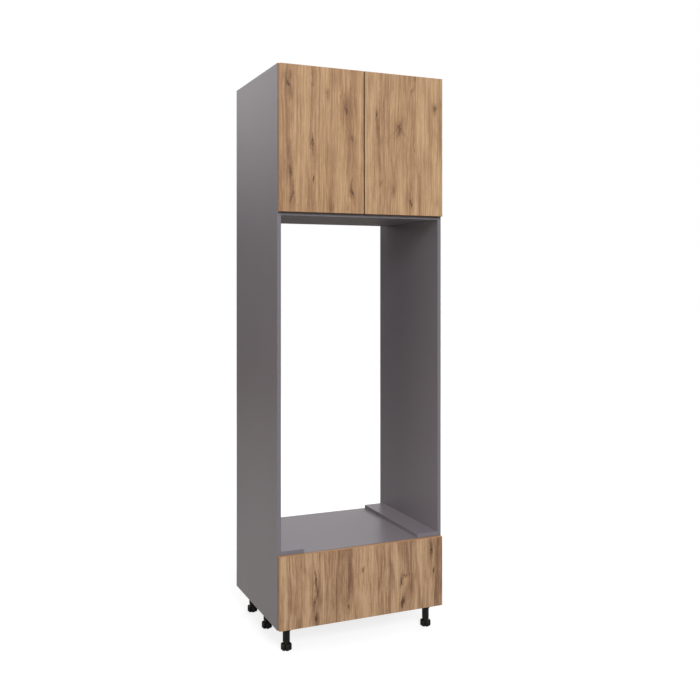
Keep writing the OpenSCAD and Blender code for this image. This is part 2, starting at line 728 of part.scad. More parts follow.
module left_inner_links() color(zinc) in_unit() at_hinges() inner_link();
module right_inner_links() color(zinc) in_unit() mirror([1, 0, 0]) at_hinges() inner_link();
module left_outer_links() color(zinc) in_unit() at_hinges() outer_link();
module right_outer_links() color(zinc) in_unit() mirror([1, 0, 0]) at_hinges() outer_link();

module arm_screw_places() for (y = arm_screw_ys)
    translate([web_x + sheet, y, 0]) rotate([0, 90, 0]) children();

module hinge_plate() difference() {
    union() {
        for (k = [-0.5, 0.5]) translate([plate_x, plate_front, k * hinge_plate_pitch])
            rotate([0, 90, 0]) cylinder(r = plate_wing_r, h = plate_base_t);
        translate([plate_x, plate_front - plate_wing_r, -hinge_plate_pitch / 2])
            cube([plate_base_t, 2 * plate_wing_r, hinge_plate_pitch]);
        translate([plate_x, saddle_y[0], -saddle_half])
            cube([web_x - plate_x - fit, saddle_y[1] - saddle_y[0], 2 * saddle_half]);
    }
    for (k = [-0.5, 0.5]) translate([plate_x - cut, plate_front, k * hinge_plate_pitch])
        rotate([0, 90, 0]) cylinder(r = plate_screw[2] + fit, h = plate_base_t + 2 * cut);
    arm_screw_places() translate([0, 0, -arm_screw[3] - fit])
        cylinder(r = arm_screw[2] + fit, h = arm_screw[3] + cut);
}

module hinge_arm() difference() {
    union() {
        for (m = [0, 1]) mirror([0, 0, m]) translate([0, 0, cheek_zs[0]])
            linear_extrude(cheek_zs[1] - cheek_zs[0]) {
                polygon([
                    pin_a - [0, nose_r], pin_b - [0, nose_r], pin_b + [nose_r, 0],
                    pin_b + [nose_r, 3.2], [web_x + sheet, web_y], [web_x + sheet, arm_end],
                    [cheek_x, arm_end], [cheek_x, web_y + 2], [pin_a[0] - nose_r, web_y - 3],
                    pin_a - [nose_r, 0]
                ]);
                translate(pin_a) circle(r = nose_r);
                translate(pin_b) circle(r = nose_r);
            }
        translate([web_x, web_y, -cheek_zs[1]]) cube([sheet, arm_end - web_y, 2 * cheek_zs[1]]);
    }
    for (p = [pin_a, pin_b]) translate([p[0], p[1], -cup_d / 2])
        cylinder(r = hinge_pin_r + fit, h = cup_d);
    arm_screw_places() translate([0, 0, -sheet - cut])
        cylinder(r = arm_screw[2] + fit, h = sheet + 2 * cut);
}

module hinge_plates() color(zinc) in_unit() both_sides() at_hinges() hinge_plate();
module hinge_arms() color(zinc) in_unit() both_sides() at_hinges() hinge_arm();
module hinge_arm_pins() color(zinc) in_unit() both_sides() at_hinges()
    for (p = [pin_a, pin_b]) hinge_pin(p, -cheek_zs[1], cheek_zs[1]);
module hinge_adjusting_screws() color(zinc) in_unit() both_sides() at_hinges()
    arm_screw_places() pan_screw(arm_screw);
module hinge_plate_screws() color(zinc) in_unit() both_sides() at_hinges()
    for (k = [-0.5, 0.5]) translate([plate_x + plate_base_t, plate_front, k * hinge_plate_pitch])
        rotate([0, 90, 0]) pan_screw(plate_screw);

// Drawer
module front_screw_places() both_sides() for (z = front_screw_zs)
    translate([-front_screw_x, box_y + drawer_board_t, z]) rotate([-90, 0, 0]) children();

module drawer_front() color(oak) in_unit() difference() {
    board([-drawer_front_w / 2, -front_proud, drawer_bottom_reveal],
        [drawer_front_w, front_t, drawer_front_h], front_ease);
    front_screw_places() translate([0, 0, -front_screw[3] - fit])
        cylinder(r = front_screw[2] + fit, h = front_screw[3]);
}

module drawer_groove_cut() translate([-box_in_x - drawer_groove, box_y + drawer_board_t - drawer_groove,
    bottom_z]) cube([2 * (box_in_x + drawer_groove), runner_l - 2 * (drawer_board_t - drawer_groove),
    drawer_bottom_t + slot_play]);

module box_dowel_places() both_sides()
    for (y = [drawer_board_t / 2, runner_l - drawer_board_t / 2], z = box_dowel_zs)
        translate([-box_in_x, box_y + y, z]) children();

module drawer_screw_places() both_sides() for (y = drawer_screw_ys)
    translate([-box_x - sheet, runner_y + y, runner_z]) rotate([0, -90, 0]) children();

module drawer_side() difference() {
    board([-box_x, box_y, box_z], [drawer_board_t, runner_l, drawer_box_h]);
    drawer_groove_cut();
    box_dowel_places() translate([-dowel_in_side - fit, 0, 0]) rotate([0, 90, 0])
        cylinder(r = dowel_r + fit, h = dowel_in_side + cut);
    drawer_screw_places() translate([0, 0, -runner_screw[3] - fit])
        cylinder(r = runner_screw[2] + fit, h = runner_screw[3]);
}

module drawer_end(y) difference() {
    board([-box_in_x, y, box_z], [2 * box_in_x, drawer_board_t, drawer_box_h]);
    drawer_groove_cut();
    box_dowel_places() dowel_seat(dowel_r, dowel_in_board);
}

module drawer_left_side() color(board_grey) in_unit() drawer_side();
module drawer_right_side() color(board_grey) in_unit() mirror([1, 0, 0]) drawer_side();

module drawer_box_front() color(board_grey) in_unit() difference() {
    drawer_end(box_y);
    front_screw_places() translate([0, 0, -drawer_board_t - cut])
        cylinder(r = front_screw[2] + fit, h = drawer_board_t + 2 * cut);
}

module drawer_box_back() color(board_grey) in_unit() drawer_end(box_y + runner_l - drawer_board_t);

module drawer_bottom() color(board_grey) in_unit()
    translate([slot_play - box_in_x - drawer_groove,
        box_y + drawer_board_t - drawer_groove + slot_play, bottom_z])
        cube([2 * (box_in_x + drawer_groove - slot_play),
            runner_l - 2 * (drawer_board_t - drawer_groove + slot_play), drawer_bottom_t]);

module drawer_dowels() color(beech) in_unit() box_dowel_places() dowel(-dowel_in_side, dowel_in_board);

module drawer_screws() color(zinc) in_unit() {
    front_screw_places() pan_screw(front_screw);
    drawer_screw_places() pan_screw(runner_screw);
}

module drawer_bumpers() color(clear_soft) in_unit() both_sides()
    for (z = [drawer_bottom_reveal + 2 * bumper_inset,
        drawer_bottom_reveal + drawer_front_h - 2 * bumper_inset])
        translate([(board_t - unit_w) / 2, -front_gap, z]) bumper();

// Runners: c = [half height, first face, last face], open towards the drawer, or away from it
module channel(c, open_in = true) translate([-inner_x, runner_y, runner_z]) rotate([-90, 0, 0])
    linear_extrude(runner_l) difference() {
        translate([c[1], -c[0]]) square([c[2] - c[1], 2 * c[0]]);
        translate([open_in ? c[1] + sheet : c[1] - cut, sheet - c[0]])
            square([c[2] - c[1] - sheet + cut, 2 * (c[0] - sheet)]);
    }

module cabinet_screw_places() both_sides() for (y = runner_screw_ys)
    translate([sheet - inner_x, runner_y + y, runner_z]) rotate([0, 90, 0]) children();

module runner_cabinet_profiles() color(zinc) in_unit() difference() {
    both_sides() channel(CABINET_CHANNEL);
    cabinet_screw_places() translate([0, 0, -sheet - cut])
        cylinder(r = runner_screw[2] + fit, h = sheet + 2 * cut);
}

module runner_cabinet_screws() color(zinc) in_unit() cabinet_screw_places() pan_screw(runner_screw);
module runner_middle_profiles() color(zinc) in_unit() both_sides() channel(MIDDLE_CHANNEL);

module runner_drawer_profiles() color(zinc) in_unit() difference() {
    both_sides() channel(DRAWER_CHANNEL, false);
    drawer_screw_places() translate([0, 0, -sheet - cut])
        cylinder(r = runner_screw[2] + fit, h = sheet + 2 * cut);
}

module ball_cage(outer, inner, u) both_sides() for (m = [0, 1]) {
    w = (outer[0] - sheet + inner[0]) / 2;
    r = (outer[0] - sheet - inner[0]) / 2 - ball_play;
    step = cage_l / cage_balls;
    translate([-inner_x, cage_y, runner_z]) mirror([0, 0, m]) translate([0, 0, w]) {
        difference() {
            translate([max(outer[1] + sheet, inner[1]) + cage_t, 0, -cage_t / 2])
                cube([inner[2] - inner[1] - 3 * cage_t, cage_l, cage_t]);
            for (i = [0 : cage_balls - 1]) translate([u, (i + 0.5) * step, -cage_t])
                cylinder(r = r + fit, h = 2 * cage_t);
        }
        for (i = [0 : cage_balls - 1]) translate([u, (i + 0.5) * step, 0]) sphere(r = r);
    }
}

module outer_ball_cages() color(zinc) in_unit()
    ball_cage(CABINET_CHANNEL, MIDDLE_CHANNEL, cage_ball_us[0]);
module inner_ball_cages() color(zinc) in_unit()
    ball_cage(MIDDLE_CHANNEL, DRAWER_CHANNEL, cage_ball_us[1]);

left_side();
right_side();
top_panel();
niche_top_shelf();
niche_floor();
bottom_panel();
wall_rail();
upper_back_panel();
drawer_back_panel();
adjustable_shelf();
shelf_pins();
left_oven_strip();
right_oven_strip();
oven_strip_screws();
back_panel_screws();
cam_locks();
cam_bolts();
wood_dowels();
leg_bodies();
leg_screws();
front_left_foot();
middle_left_foot();
rear_left_foot();
front_right_foot();
middle_right_foot();
rear_right_foot();
left_door();
right_door();
left_door_bumpers();
right_door_bumpers();
hinge_plates();
hinge_arms();
hinge_plate_screws();
hinge_adjusting_screws();
hinge_arm_pins();
left_hinge_cups();
right_hinge_cups();
left_cup_screws();
right_cup_screws();
left_cup_pins();
right_cup_pins();
left_inner_links();
right_inner_links();
left_outer_links();
right_outer_links();
drawer_front();
drawer_left_side();
drawer_right_side();
drawer_box_front();
drawer_box_back();
drawer_bottom();
drawer_dowels();
drawer_screws();
drawer_bumpers();
runner_cabinet_profiles();
runner_cabinet_screws();
runner_middle_profiles();
runner_drawer_profiles();
outer_ball_cages();
inner_ball_cages();
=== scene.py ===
# Tall oven housing unit, dressed round its CAD frame: grey faced carcass, knotty oak doors and
# drawer front, plated hinges and runners, black screw legs. Metres, fronts towards -Y.
import bpy
import bmesh
import json
import math
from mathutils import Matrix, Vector

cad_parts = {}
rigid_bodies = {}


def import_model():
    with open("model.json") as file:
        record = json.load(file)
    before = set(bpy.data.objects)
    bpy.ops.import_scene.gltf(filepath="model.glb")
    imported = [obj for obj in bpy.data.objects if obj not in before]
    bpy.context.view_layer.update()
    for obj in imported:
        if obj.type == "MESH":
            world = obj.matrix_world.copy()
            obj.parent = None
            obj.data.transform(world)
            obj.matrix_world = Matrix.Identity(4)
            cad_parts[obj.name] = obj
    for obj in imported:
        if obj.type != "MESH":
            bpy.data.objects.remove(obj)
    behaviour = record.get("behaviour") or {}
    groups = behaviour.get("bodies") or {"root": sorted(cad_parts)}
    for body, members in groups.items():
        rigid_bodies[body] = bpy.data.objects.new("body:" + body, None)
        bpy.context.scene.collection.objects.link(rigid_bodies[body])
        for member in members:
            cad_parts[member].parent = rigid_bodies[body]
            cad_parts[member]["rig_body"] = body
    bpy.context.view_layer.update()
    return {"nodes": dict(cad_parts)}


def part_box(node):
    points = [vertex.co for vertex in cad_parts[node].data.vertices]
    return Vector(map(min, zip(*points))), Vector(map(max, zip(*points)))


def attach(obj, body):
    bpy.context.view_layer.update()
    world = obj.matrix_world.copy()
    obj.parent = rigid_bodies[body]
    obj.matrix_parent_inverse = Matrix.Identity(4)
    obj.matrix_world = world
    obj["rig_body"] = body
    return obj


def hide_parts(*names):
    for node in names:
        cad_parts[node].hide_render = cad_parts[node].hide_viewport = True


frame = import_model()
nodes = frame["nodes"]


# Camera, lamps, sky and floor. The camera stands at the photograph's place, level, with its view
# shifted down. Four soft lamps light the unit, and the floor is a pale sheet that keeps its
# shadow and turns white for the camera.
camera = bpy.data.objects.new("photo_camera", bpy.data.cameras.new("photo_camera"))
bpy.context.scene.collection.objects.link(camera)
camera.location = (-1.5622, -3.7447, 1.5336)
camera.rotation_euler = (math.radians(90), 0, math.radians(-23.511))
camera.data.lens = 45.863
camera.data.shift_y = -0.0998
camera.data.clip_end = 80
# The height of the film sets the photograph's frame. Its width only makes the other views stand
# further back, which leaves them room for the shift.
camera.data.sensor_fit = "VERTICAL"
camera.data.sensor_height = 36
camera.data.sensor_width = 28.8
bpy.context.scene.camera = camera
bpy.context.scene.view_settings.view_transform = "Standard"


def soft_lamp(name, place, aim, size, watts, colour=(1, 1, 1)):
    """A flat lamp, its size across and up, that stands at a place and looks at its aim."""
    lamp = bpy.data.objects.new(name, bpy.data.lights.new(name, "AREA"))
    lamp.data.color = colour
    lamp.data.shape = "RECTANGLE"
    lamp.data.size, lamp.data.size_y = size
    lamp.data.energy = watts
    lamp.location = place
    lamp.rotation_euler = (Vector(aim) - Vector(place)).to_track_quat("-Z", "Y").to_euler()
    bpy.context.scene.collection.objects.link(lamp)


# The front lamp hangs high, and leaves the dark line under the doors. The side lamp brightens the
# top of the left side, the fill lamp its lower part, and the rear lamp the right side and back.
soft_lamp("front_lamp", (-0.9, -8.5, 5.6), (0, 0, 1.4), (3.0, 3.0), 555)
soft_lamp("side_lamp", (-1.3, 0.1, 3.2), (-0.4, 0, 2.4), (0.8, 0.8), 7)
soft_lamp("fill_lamp", (-6.8, -1.9, 0.9), (0, 0, 0.9), (3.0, 2.0), 74, (0.98, 1.0, 0.85))
soft_lamp("rear_lamp", (6.5, 5.5, 2.0), (0, 0, 1.2), (3.0, 3.0), 230)


def feed_in(tree, socket, feed):
    """Links a socket to another one, or sets its plain value; None leaves it as it is."""
    if isinstance(feed, bpy.types.NodeSocket):
        tree.links.new(feed, socket)
    elif feed is not None:
        socket.default_value = feed


def put(tree, kind, *feeds, **named):
    """The first output of a new node. Its sockets are fed in order, or by name where the name
    has a capital; other names are its settings."""
    made = tree.nodes.new("ShaderNode" + kind)
    for key, value in named.items():
        if not key[0].isupper():
            setattr(made, key, value)
    for socket, feed in zip(made.inputs, feeds):
        feed_in(tree, socket, feed)
    for key, feed in named.items():
        if key[0].isupper():
            feed_in(tree, made.inputs[key.replace("_", " ")], feed)
    return made.outputs[0] if len(made.outputs) else None


def math_of(tree, operation, a, b=None, c=None):
    return put(tree, "Math", a, b, c, operation=operation)


def blend_of(tree, share, a, b, kind="MIX"):
    """Colour a with a share of colour b over it."""
    made = tree.nodes.new("ShaderNodeMix")
    made.data_type = "RGBA"
    made.blend_type = kind
    for index, feed in ((0, share), (6, a), (7, b)):
        feed_in(tree, made.inputs[index], feed)
    return made.outputs[2]


def axes_of(tree, vector):
    """The X, Y and Z of a place or a direction, as three sockets."""
    made = tree.nodes.new("ShaderNodeSeparateXYZ")
    tree.links.new(vector, made.inputs[0])
    return made.outputs


def place_of(tree, kind="Object"):
    return tree.nodes.new("ShaderNodeTexCoord").outputs[kind]


def rays_of(tree):
    """The kinds of ray, and 1 for the rays that look at the background itself."""
    path = tree.nodes.new("ShaderNodeLightPath").outputs
    return path, math_of(tree, "MAXIMUM", path["Is Camera Ray"], path["Is Transmission Ray"])


def empty_tree(data):
    data.use_nodes = True
    data.node_tree.nodes.clear()
    return data.node_tree


WHITE = (1, 1, 1, 1)

# Sky: white for the camera, dim and olive near the horizon, brighter and cooler above it
studio = bpy.data.worlds.new("studio")
bpy.context.scene.world = studio
tree = empty_tree(studio)
path, looking = rays_of(tree)
height = put(tree, "MapRange", axes_of(tree, place_of(tree, "Generated"))[2], 0.06, 0.20, 0.0, 1.0)
low_sky = put(tree, "Background", (0.96, 1.0, 0.84, 1), 0.31)
high_sky = put(tree, "Background", (0.96, 0.97, 1.0, 1), 0.50)
mirrored = put(tree, "Background", WHITE, put(tree, "MapRange", height, 0.0, 1.0, 0.05, 1.0))
sky = put(tree, "MixShader", path["Is Glossy Ray"],
          put(tree, "MixShader", height, low_sky, high_sky), mirrored)
backdrop = put(tree, "Background", WHITE, 1.0)
put(tree, "OutputWorld", put(tree, "MixShader", looking, sky, backdrop))

# Floor: it takes the shadow near the unit, and glows white further off
floor_mesh = bpy.data.meshes.new("studio_floor")
bm = bmesh.new()
bmesh.ops.create_grid(bm, x_segments=1, y_segments=1, size=30)
bm.to_mesh(floor_mesh)
bm.free()
studio_floor = bpy.data.objects.new("studio_floor", floor_mesh)
bpy.context.scene.collection.objects.link(studio_floor)
pale = bpy.data.materials.new("pale_floor")
tree = empty_tree(pale)
path, looking = rays_of(tree)
reach = tree.nodes.new("ShaderNodeVectorMath")
reach.operation = "LENGTH"
tree.links.new(place_of(tree), reach.inputs[0])
away = reach.outputs["Value"]
white = math_of(tree, "MULTIPLY", looking, put(tree, "MapRange", away, 0.7, 3.0, 0.80, 1.0))
shine = math_of(tree, "MULTIPLY", path["Is Glossy Ray"],
                put(tree, "MapRange", away, 1.0, 11.0, 0.20, 0.05))
tint = blend_of(tree, path["Is Glossy Ray"], WHITE, (1.0, 0.88, 0.74, 1))
glow = put(tree, "Emission", tint, math_of(tree, "ADD", white, shine))
far = put(tree, "MapRange", away, 2.0, 9.0, 0.0, 1.0)
lit = put(tree, "BsdfDiffuse", blend_of(tree, far, (0.32, 0.32, 0.32, 1), (0.05, 0.04, 0.02, 1)))
put(tree, "OutputMaterial", put(tree, "AddShader", lit, glow))
floor_mesh.materials.append(pale)


# Carcass boards: 16 mm chipboard faced with dust grey melamine, a fine pearl pressed into it.
# Showing edges have a thin band of the same grey; rear and lower edges show the bare chipboard.
# Dowels line the boards up, and cams and bolts pull them together.
def paint(red, green, blue):
    """A colour written in screen values, 0 to 255, as the shader's own."""
    return tuple((c / 255 / 12.92) if c < 10.3 else ((c / 255 + 0.055) / 1.055) ** 2.4
                 for c in (red, green, blue)) + (1,)


def ramp_of(tree, value, *stops):
    """A colour ramp: stops are (place, colour)."""
    made = tree.nodes.new("ShaderNodeValToRGB")
    tree.links.new(value, made.inputs[0])
    band = made.color_ramp
    while len(band.elements) < len(stops):
        band.elements.new(0.5)
    for element, (place, colour) in zip(band.elements, stops):
        element.position = place
        element.color = colour
    return made.outputs[0]


def scaled(tree, vector, x, y, z, shift=0.0):
    """A place for a pattern with so many cells to the metre along each axis."""
    return put(tree, "VectorMath", vector, (x, y, z), (shift, shift, shift),
               operation="MULTIPLY_ADD")


def noise_of(tree, vector, scale, detail=2.0, rough=0.5):
    """Cloudy noise from 0 to 1, about 0.5 on average, with scale cells to the metre."""
    return put(tree, "TexNoise", Vector=vector, Scale=scale, Detail=detail, Roughness=rough)


def new_group(name, ins, outs):
    """An empty node group: ins and outs are name to socket kind."""
    group = bpy.data.node_groups.new(name, "ShaderNodeTree")
    for way, sockets in (("INPUT", ins), ("OUTPUT", outs)):
        for key, kind in sockets.items():
            group.interface.new_socket(key, in_out=way, socket_type="NodeSocket" + kind)
    take = group.nodes.new("NodeGroupInput").outputs
    return group, take, group.nodes.new("NodeGroupOutput").inputs


def group_of(tree, group, **feeds):
    """The outputs of a group placed in a tree, its sockets fed by name."""
    made = tree.nodes.new("ShaderNodeGroup")
    made.node_tree = group
    for key, feed in feeds.items():
        feed_in(tree, made.inputs[key.replace("_", " ")], feed)
    return made.outputs


def new_material(name):
    """A bare material, its tree, and the place on the unit that its pattern follows."""
    material = bpy.data.materials.new(name)
    tree = empty_tree(material)
    return material, tree, place_of(tree)


def finish_of(tree, colour, roughness, height, depth, metallic=0.0, **fixed):
    """A material's shader. Colour, roughness and height may be sockets; depth is how deep the
    height's relief goes, and what else is named is a plain value."""
    shader = tree.nodes.new("ShaderNodeBsdfPrincipled")
    feed_in(tree, shader.inputs["Base Color"], colour)
    feed_in(tree, shader.inputs["Roughness"], roughness)
    shader.inputs["Metallic"].default_value = metallic
    for key, value in fixed.items():
        shader.inputs[key.replace("_", " ")].default_value = value
    bump = put(tree, "Bump", Strength=1.0, Distance=depth, Height=height)
    tree.links.new(bump, shader.inputs["Normal"])
    put(tree, "OutputMaterial", shader.outputs[0])


# Pearl of the melamine: a fine pressed grain in tone and height, the same on every grey face
pearl, take, give = new_group("melamine_pearl", {"Place": "Vector", "Colour": "Color"},
                              {"Colour": "Color", "Roughness": "Float", "Height": "Float"})
cloud = noise_of(pearl, take["Place"], 2.2, 2.0)
fine = noise_of(pearl, take["Place"], 900.0, 1.0)
speck = noise_of(pearl, take["Place"], 2600.0, 0.0)
tone = math_of(pearl, "MULTIPLY_ADD", cloud, 0.10, 0.90)
tone = math_of(pearl, "MULTIPLY_ADD", fine, 0.10, tone)
shade = put(pearl, "CombineColor", tone, tone, tone)
pearl.links.new(blend_of(pearl, 1.0, take["Colour"], shade, "MULTIPLY"), give["Colour"])
pearl.links.new(math_of(pearl, "MULTIPLY_ADD", fine, 0.14, 0.25), give["Roughness"])
pearl.links.new(math_of(pearl, "ADD", fine, speck), give["Height"])

# Bare chipboard: pressed chips of all sizes, paler and darker, with dark pits between them
chips, take, give = new_group("bare_chipboard", {"Place": "Vector"},
                              {"Colour": "Color", "Height": "Float"})
cells = put(chips, "TexVoronoi", Vector=take["Place"], Scale=420.0)
flakes = noise_of(chips, take["Place"], 700.0, 3.0, 0.6)
chips.links.new(ramp_of(chips, flakes, (0.30, paint(92, 68, 46)), (0.48, paint(150, 118, 82)),
                        (0.66, paint(186, 154, 112))), give["Colour"])
chips.links.new(math_of(chips, "SUBTRACT", flakes, cells), give["Height"])

GREY = paint(133, 125, 131)
BAND_GREY = paint(122, 119, 126)
PEARL_DEPTH = 0.00002   # the relief of the pressed pearl
GREY_EASE = 0.0004      # the width that the boards' edges are rounded to
GREY_RIM = 0.0006       # how far an edge's own look reaches round the corner

# The sides of a board: its axis, and whether it is the one further along it
X, Y, Z = 0, 1, 2
LEFT, RIGHT = (X, False), (X, True)
FRONT, REAR = (Y, False), (Y, True)
LOWER, UPPER = (Z, False), (Z, True)


def at_side(tree, place, node, side, inset):
    """1 on one side of a board, and on its faces up to the inset from that side."""
    axis, further = side
    low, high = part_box(node)
    along = axes_of(tree, place)[axis]
    if further:
        return math_of(tree, "GREATER_THAN", along, high[axis] - inset)
    return math_of(tree, "LESS_THAN", along, low[axis] + inset)


def dress(node, material):
    nodes[node].data.materials.clear()
    nodes[node].data.materials.append(material)


def eased(node, width):
    """Rounds a board's edges a little, on top of the CAD mesh, which stays as it is."""
    weld = nodes[node].modifiers.new("weld", "WELD")
    weld.merge_threshold = 0.00002
    bevel = nodes[node].modifiers.new("bevel", "BEVEL")
    bevel.width = width
    bevel.segments = 2
    bevel.limit_method = "ANGLE"
    bevel.angle_limit = math.radians(60)


def faced_board(node, banded=(), bare=()):
    """Dresses a grey board: banded sides have the edge band, bare ones show the chipboard."""
    material, tree, place = new_material("grey_" + node)
    tint = GREY
    for side in banded:
        tint = blend_of(tree, at_side(tree, place, node, side, GREY_RIM), tint, BAND_GREY)
    face = group_of(tree, pearl, Place=place, Colour=tint)
    look, height = face["Colour"], face["Height"]
    core = group_of(tree, chips, Place=place) if bare else None
    for side in bare:
        mask = at_side(tree, place, node, side, GREY_RIM)
        look = blend_of(tree, mask, look, core["Colour"])
        height = math_of(tree, "MULTIPLY_ADD", mask, core["Height"], height)
    finish_of(tree, look, face["Roughness"], height, PEARL_DEPTH,
              Specular_IOR_Level=0.42)
    dress(node, material)
    eased(node, GREY_EASE)


for node in ("left_side", "right_side"):
    faced_board(node, banded=[FRONT, UPPER], bare=[REAR, LOWER])
for node in ("top_panel", "niche_top_shelf", "niche_floor", "bottom_panel"):
    faced_board(node, banded=[FRONT], bare=[REAR])
faced_board("adjustable_shelf", banded=[FRONT, REAR, LEFT, RIGHT])
faced_board("wall_rail", banded=[LOWER], bare=[UPPER])


# Oven rest strips: lengths of the same 16 mm board, which lie on the niche floor along the sides
# and are screwed to it from below. The oven slides in on them.
for node in ("left_oven_strip", "right_oven_strip"):
    faced_board(node, banded=[FRONT], bare=[REAR])


# Thin backs: 3 mm hardboard, grey on the face that looks forwards and bare brown behind, where
# it carries the fine mesh of the press; screwed on and let into grooves of the side panels
PRESS_DEPTH = 0.00003   # the relief of the press's mesh


def thin_board(node, bare):
    """Dresses a thin board: grey on one face, bare hardboard on the side named."""
    low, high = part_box(node)
    half = (high[bare[0]] - low[bare[0]]) / 2
    material, tree, place = new_material("hardboard_" + node)
    face = group_of(tree, pearl, Place=place, Colour=GREY)
    behind = at_side(tree, place, node, bare, half)
    fibre = noise_of(tree, scaled(tree, place, 1.0, 1.0, 0.6), 380.0, 4.0, 0.65)
    brown = ramp_of(tree, fibre, (0.30, paint(104, 78, 55)), (0.70, paint(147, 116, 84)))
    mesh = put(tree, "TexVoronoi", Vector=place, Scale=620.0)
    look = blend_of(tree, behind, face["Colour"], brown)
    height = math_of(tree, "MULTIPLY_ADD", behind, mesh, face["Height"])
    finish_of(tree, look, 0.55, height, PRESS_DEPTH)
    dress(node, material)


thin_board("upper_back_panel", REAR)
thin_board("drawer_back_panel", REAR)


# Doors and drawer front: 18 mm board with a knotty oak face, the grain upright, and a thin warm
# edge band all round. Knots, streaks and shadows sit where the photograph shows them; the grain
# bends round each knot and darkens about it.

# One mark on the oak, upright or slanted: it adds a swerve of the grain, a soft halo and a dark
# core to those of the marks before it
mark, take, give = new_group(
    "oak_mark", dict.fromkeys(("Across", "Along", "Centre X", "Centre Z", "Half Width",
                               "Half Height", "Slant", "Halo", "Core", "Bend Sum", "Halo Sum",
                               "Core Sum"), "Float"),
    dict.fromkeys(("Bend", "Halo", "Core"), "Float"))
up = math_of(mark, "SUBTRACT", take["Along"], take["Centre Z"])
off = math_of(mark, "SUBTRACT", math_of(mark, "SUBTRACT", take["Across"], take["Centre X"]),
              math_of(mark, "MULTIPLY", up, take["Slant"]))
wide = math_of(mark, "DIVIDE", off, take["Half Width"])
tall = math_of(mark, "DIVIDE", up, take["Half Height"])
wide = math_of(mark, "MULTIPLY", wide, wide)
tall = math_of(mark, "MULTIPLY", tall, tall)


def hill(across, along):
    """A smooth hill round the mark: the larger the two numbers, the smaller the hill."""
    fall = math_of(mark, "MULTIPLY_ADD", wide, across, math_of(mark, "MULTIPLY", tall, along))
    return math_of(mark, "EXPONENT", math_of(mark, "MULTIPLY", fall, -1.0))


swerve = math_of(mark, "MULTIPLY", math_of(mark, "MULTIPLY", off, hill(0.30, 0.35)), take["Core"])
for key, amount, share in (("Bend", swerve, 0.75), ("Halo", hill(0.45, 0.22), take["Halo"]),
                           ("Core", hill(1.0, 0.8), take["Core"])):
    mark.links.new(math_of(mark, "MULTIPLY_ADD", amount, share, take[key + " Sum"]), give[key])

# The oak's figure along the bent grain: broad bands, year lines, fine fibres and open pores
MEAN_TONE = 0.60
figure, take, give = new_group("oak_figure", {"Place": "Vector"}, dict.fromkeys(
    ("Tone", "Warmth", "Rings", "Streak", "Pores", "Fibre"), "Float"))
place = take["Place"]
broad = noise_of(figure, scaled(figure, place, 13.0, 13.0, 0.9), 1.0, 2.0, 0.5)
middle = noise_of(figure, scaled(figure, place, 56.0, 56.0, 2.4, 7.0), 1.0, 3.0, 0.6)
patch = noise_of(figure, scaled(figure, place, 30.0, 30.0, 9.0, 3.0), 1.0, 3.0, 0.6)
streak = noise_of(figure, scaled(figure, place, 190.0, 190.0, 3.4, 5.0), 1.0, 3.0, 0.6)
fibre = noise_of(figure, scaled(figure, place, 480.0, 480.0, 19.0, 1.0), 1.0, 3.0, 0.7)
pore = noise_of(figure, scaled(figure, place, 1600.0, 1600.0, 60.0), 1.0, 1.0, 0.5)
pores = math_of(figure, "GREATER_THAN", pore, 0.64)
rings = math_of(figure, "MULTIPLY_ADD", broad, 6.0,
                math_of(figure, "MULTIPLY", axes_of(figure, place)[X], 60.0))
rings = math_of(figure, "FRACT", math_of(figure, "MULTIPLY_ADD", middle, 1.6, rings))
rings = math_of(figure, "MULTIPLY", math_of(figure, "SUBTRACT", rings, 0.5),
                put(figure, "MapRange", patch, 0.36, 0.62, 0.05, 0.24))
layers = ((broad, 0.62), (middle, 0.55), (patch, 0.36), (streak, 0.62), (fibre, 0.52))
tone = math_of(figure, "ADD", rings, MEAN_TONE - sum(weight for layer, weight in layers) / 2)
for layer, weight in layers:
    tone = math_of(figure, "MULTIPLY_ADD", layer, weight, tone)
for key, value in (("Tone", tone), ("Warmth", patch), ("Rings", rings), ("Streak", streak),
                   ("Pores", pores), ("Fibre", fibre)):
    figure.links.new(value, give[key])

OAK_DARK = paint(116, 83, 58)
OAK_BROWN = paint(150, 114, 82)
OAK_MID = paint(182, 146, 109)
OAK_LIGHT = paint(206, 171, 132)
OAK_WARM = paint(187, 139, 98)
# the knots' darkest colour, also used as the painted shade on the doors' meeting edges
KNOT_DARK_AND_GAP_SHADE = paint(70, 49, 38)
KNOT_BROWN = paint(112, 78, 56)
OAK_BAND = paint(196, 146, 98)
GRAIN_DEPTH = 0.00005   # the relief of the fibres and pores
BAND_T = 0.0011         # the thickness of the edge band
OAK_EASE = 0.0009       # the width that the fronts' edges are rounded to


